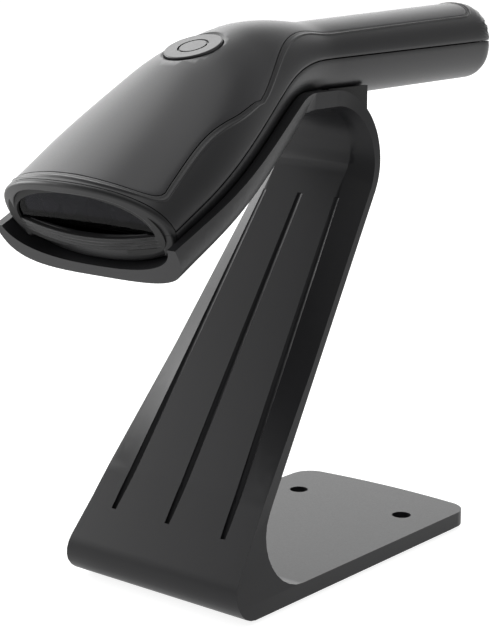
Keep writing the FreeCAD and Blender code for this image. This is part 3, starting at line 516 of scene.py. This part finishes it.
def seamPlace(j):
    # where the band ends for each point of the cover's edge
    if j <= frontCount:
        t = math.pi / 2.0 * (1.0 - j / frontCount)
        t = max(t, seamAngle)
        return alongForDepth(t, upperPiece["noseSeam"]), t
    if j <= sideCount:
        first = coverEdge[frontCount][0]
        last = coverEdge[sideCount][0]
        share = (coverEdge[j][0] - first) / (last - first)
        start = alongForDepth(seamAngle, upperPiece["noseSeam"])
        return start + (poleAt - upperPiece["poleGap"] - start) * share, seamAngle
    share = (j - sideCount) / (halfCount - sideCount)
    return poleAt, seamAngle + (math.pi / 2.0 - seamAngle) * share


bandRows = [0.0, 0.6, 0.95, 1.2, 1.45, 1.7, 1.95, 2.3]


def bandPlace(i, j):
    side = 1.0 if j <= halfCount else -1.0
    k = j if j <= halfCount else 2 * halfCount - j
    d0, t0 = coverEdge[k]
    d1, t1 = seamPlace(k)
    length = 0.0
    last = skinPoint(d0, t0)
    for n in range(1, 9):
        point = skinPoint(d0 + (d1 - d0) * n / 8.0, t0 + (t1 - t0) * n / 8.0)
        length += (point - last).length
        last = point
    start = coverShape["gap"] / length
    if i < len(bandRows):
        share = start + bandRows[i] / length
        off = bandRows[i] - upperPiece["beadAt"]
        swell = max(0.0, 1.0 - (off / upperPiece["beadHalf"]) ** 2)
        proud = upperPiece["bead"] * swell if d0 < roundStart else 0.0
    else:
        reached = start + bandRows[-1] / length
        share = reached + (1.0 - reached) * (i - len(bandRows) + 1) / (upperPiece["rows"] - len(bandRows) + 1)
        proud = 0.0
    return mirrorX(skinPoint(d0 + (d1 - d0) * share, t0 + (t1 - t0) * share, proud), side)


addPiece("upperSkin", upperPiece["rows"], 2 * halfCount, bandPlace, upperPiece,
         materials["housingAbs"], fromSpine, ["upper_housing"], "scanner", [socketCutter])

# ---- lower housing
lowerPiece = {"wall": 2.0, "soft": 0.2, "across": 48, "along": 90, "front": 1.4}
frontSetback = {"depth": 2.0, "from": 25.4, "to": 27.2}


def setback(t):
    # the nose is undercut below the ridges, between the side walls
    if math.sin(t) > -0.05:
        return 0.0
    x = abs(skinPoint(1.0, t).x)
    return frontSetback["depth"] * (1.0 - smoothStep(x, frontSetback["from"], frontSetback["to"]))


def lowerPlace(i, j):
    t = -0.012 - (math.pi - 0.024) * i / lowerPiece["across"]
    start = alongForDepth(t, lowerPiece["front"] + setback(t))
    share = j / lowerPiece["along"]
    return skinPoint(start + (poleAt - start) * share, t)


addPiece("lowerSkin", lowerPiece["across"], lowerPiece["along"], lowerPlace, lowerPiece,
         materials["housingAbs"], fromSpine, ["lower_housing"], "scanner", [socketCutter])
for cutter in (buttonCutter, socketCutter):
    bpy.data.objects.remove(cutter)
print("skins done")

# ---- nose frame: rounded rim, arched opening, moulded ridges below it, face set back under the ridges
noseShape = {
    "wall": 1.4, "soft": 0.1, "columns": 176, "archHalf": 26.9, "archFoot": -3.1, "archHigh": 16.4,
    "archSquare": 2.6, "archStart": 5.0, "edgeLow": -2.6, "edgeRise": 1.8, "round": 1.0,
    "innerRound": 0.5, "inside": 2.4,
    "ridgePitch": 1.15, "ridgeHigh": 0.4, "ridgeRun": 4.0, "faceRows": 30,
}


def openingEdge(t):
    # opening's edge on the nose face, across and up, for an angle round the section
    if math.sin(t) >= 0.0:
        start = math.radians(noseShape["archStart"])
        swing = start + (math.pi - 2.0 * start) * (t % (2.0 * math.pi)) / math.pi
        square = 2.0 / noseShape["archSquare"]
        return (noseShape["archHalf"] * math.copysign(abs(math.cos(swing)) ** square, math.cos(swing)),
                noseShape["archFoot"] + noseShape["archHigh"] * math.sin(swing) ** square)
    foot = math.cos(math.radians(noseShape["archStart"])) ** (2.0 / noseShape["archSquare"])
    x = noseShape["archHalf"] * foot * math.cos(t)
    return x, lowEdge(x)


def lowEdge(x):
    return noseShape["edgeLow"] + noseShape["edgeRise"] * (x / noseShape["archHalf"]) ** 2


def onNose(x, h, depth):
    return noseCentre + noseUp * h - noseOut * (depth + bodyShape["noseBow"] * x * x) + Vector((x, 0.0, 0.0))


def faceDepth(x, h):
    below = lowEdge(x) - h
    if below <= 0.0:
        return 0.0
    middle = 1.0 - smoothStep(abs(x), frontSetback["from"], frontSetback["to"])
    run = min(below, noseShape["ridgeRun"])
    ridge = noseShape["ridgeHigh"] * (0.5 - 0.5 * math.cos(2.0 * math.pi * run / noseShape["ridgePitch"]))
    step = frontSetback["depth"] * smoothStep(below, noseShape["ridgeRun"], noseShape["ridgeRun"] + 0.6)
    return middle * max(ridge, step)


def nosePlace(i, j):
    t = 2.0 * math.pi * j / noseShape["columns"]
    back = setback(t)
    outer = lowerPiece["front"] - 0.25 if math.sin(t) < -0.01 else upperPiece["noseSeam"] - 0.3
    if i < 3:
        behind = max(outer, noseShape["round"] + 0.05) - noseShape["round"]
        depth = back + noseShape["round"] + behind * (2 - i) / 2.0
        return skinPoint(alongForDepth(t, depth), t)
    edge = skinPoint(alongForDepth(t, back), t)
    x0 = edge.x
    h0 = (edge - noseCentre).dot(noseUp)
    x1, h1 = openingEdge(t)
    reach = math.hypot(x1 - x0, h1 - h0)
    ex, eh = (x1 - x0) / reach, (h1 - h0) / reach
    if i < 7:
        turn = math.radians(22.5 * (i - 2))
        q = noseShape["round"] * (1.0 - math.cos(turn))
        depth = noseShape["round"] * (1.0 - math.sin(turn)) + back
        return onNose(x0 + ex * q, h0 + eh * q, depth)
    face = noseShape["faceRows"]
    if i < 7 + face:
        q = noseShape["round"] + (reach - noseShape["round"] - noseShape["innerRound"]) * (i - 6) / face
        x, h = x0 + ex * q, h0 + eh * q
        return onNose(x, h, faceDepth(x, h))
    k = i - 7 - face
    if k < 3:
        turn = math.radians(30.0 * (k + 1))
        q = reach - noseShape["innerRound"] * (1.0 - math.sin(turn))
        return onNose(x0 + ex * q, h0 + eh * q, noseShape["innerRound"] * (1.0 - math.cos(turn)))
    wallRun = noseShape["inside"] - noseShape["innerRound"]
    return onNose(x1, h1, noseShape["innerRound"] + wallRun * (k - 2) / 2.0)


addPiece("noseFrame", 7 + noseShape["faceRows"] + 4, noseShape["columns"], nosePlace, noseShape,
         materials["bezelAbs"], lambda point: noseOut, ["nose_bezel"], "scanner")
print("nose done")

# ---- stand: the same body with its sharp edges broken
standPiece = {"soft": 0.7, "segments": 3, "sharpFrom": 35.0, "weight": 80}
copyMesh = bmesh.new()
copyMesh.from_mesh(nodes["stand_body"].data)
bmesh.ops.remove_doubles(copyMesh, verts=copyMesh.verts, dist=0.00001)
for face in copyMesh.faces:
    face.smooth = True
standData = bpy.data.meshes.new("standSkin")
copyMesh.to_mesh(standData)
copyMesh.free()
standData.materials.append(materials["standAbs"])
stand = bpy.data.objects.new("standSkin", standData)
stand.matrix_world = nodes["stand_body"].matrix_world
scene.collection.objects.link(stand)
soft = stand.modifiers.new("softEdge", "BEVEL")
soft.width = standPiece["soft"] * mm
soft.segments = standPiece["segments"]
soft.limit_method = "ANGLE"
soft.angle_limit = math.radians(standPiece["sharpFrom"])
evened = stand.modifiers.new("evenShading", "WEIGHTED_NORMAL")
evened.keep_sharp = True
evened.weight = standPiece["weight"]
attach(stand, "stand")
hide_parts("stand_body")
print("stand done")

# ---- floor and light
studio = {"floor": 60.0, "white": "#a6a6a6", "glow": 0.86, "world": 0.45}
floorMesh = bmesh.new()
bmesh.ops.create_grid(floorMesh, x_segments=1, y_segments=1, size=studio["floor"])
floorData = bpy.data.meshes.new("floor")
floorMesh.to_mesh(floorData)
floorMesh.free()
floor = bpy.data.objects.new("floor", floorData)
scene.collection.objects.link(floor)
floorMaterial, tree = newMaterial("paleFloor")
out = addNode(tree, "ShaderNodeOutputMaterial")
shader = addNode(tree, "ShaderNodeBsdfPrincipled", {
    "Base Color": srgb(studio["white"]), "Roughness": 0.9, "Emission Color": (1, 1, 1, 1),
    "Emission Strength": studio["glow"]})
tree.links.new(shader.outputs[0], out.inputs[0])
floorData.materials.append(floorMaterial)

world = bpy.data.worlds.new("studio")
scene.world = world
world.use_nodes = True
world.node_tree.nodes["Background"].inputs["Color"].default_value = (1, 1, 1, 1)
world.node_tree.nodes["Background"].inputs["Strength"].default_value = studio["world"]

lamps = [
    # name, place, aim, size x, size y, watts
    ("key", (-1.3, 0.5, 1.6), (0.0, -0.05, 0.12), 1.5, 1.5, 17.5),
    ("back", (-2.0, 2.4, 1.0), (0.0, 0.0, 0.15), 4.8, 2.3, 70.0),
    ("top", (0.3, 0.1, 2.2), (0.0, 0.0, 0.1), 1.5, 1.5, 9.0),
    ("left", (-2.1, -0.6, 0.6), (0.0, 0.0, 0.1), 1.2, 1.2, 44.0),
]
for name, place, aim, sizeX, sizeY, watts in lamps:
    lampData = bpy.data.lights.new(name, "AREA")
    lampData.shape = "RECTANGLE"
    lampData.size = sizeX
    lampData.size_y = sizeY
    lampData.energy = watts
    lamp = bpy.data.objects.new(name, lampData)
    scene.collection.objects.link(lamp)
    lamp.location = place
    lamp.rotation_euler = (Vector(aim) - Vector(place)).to_track_quat("-Z", "Y").to_euler()
print("studio set up")
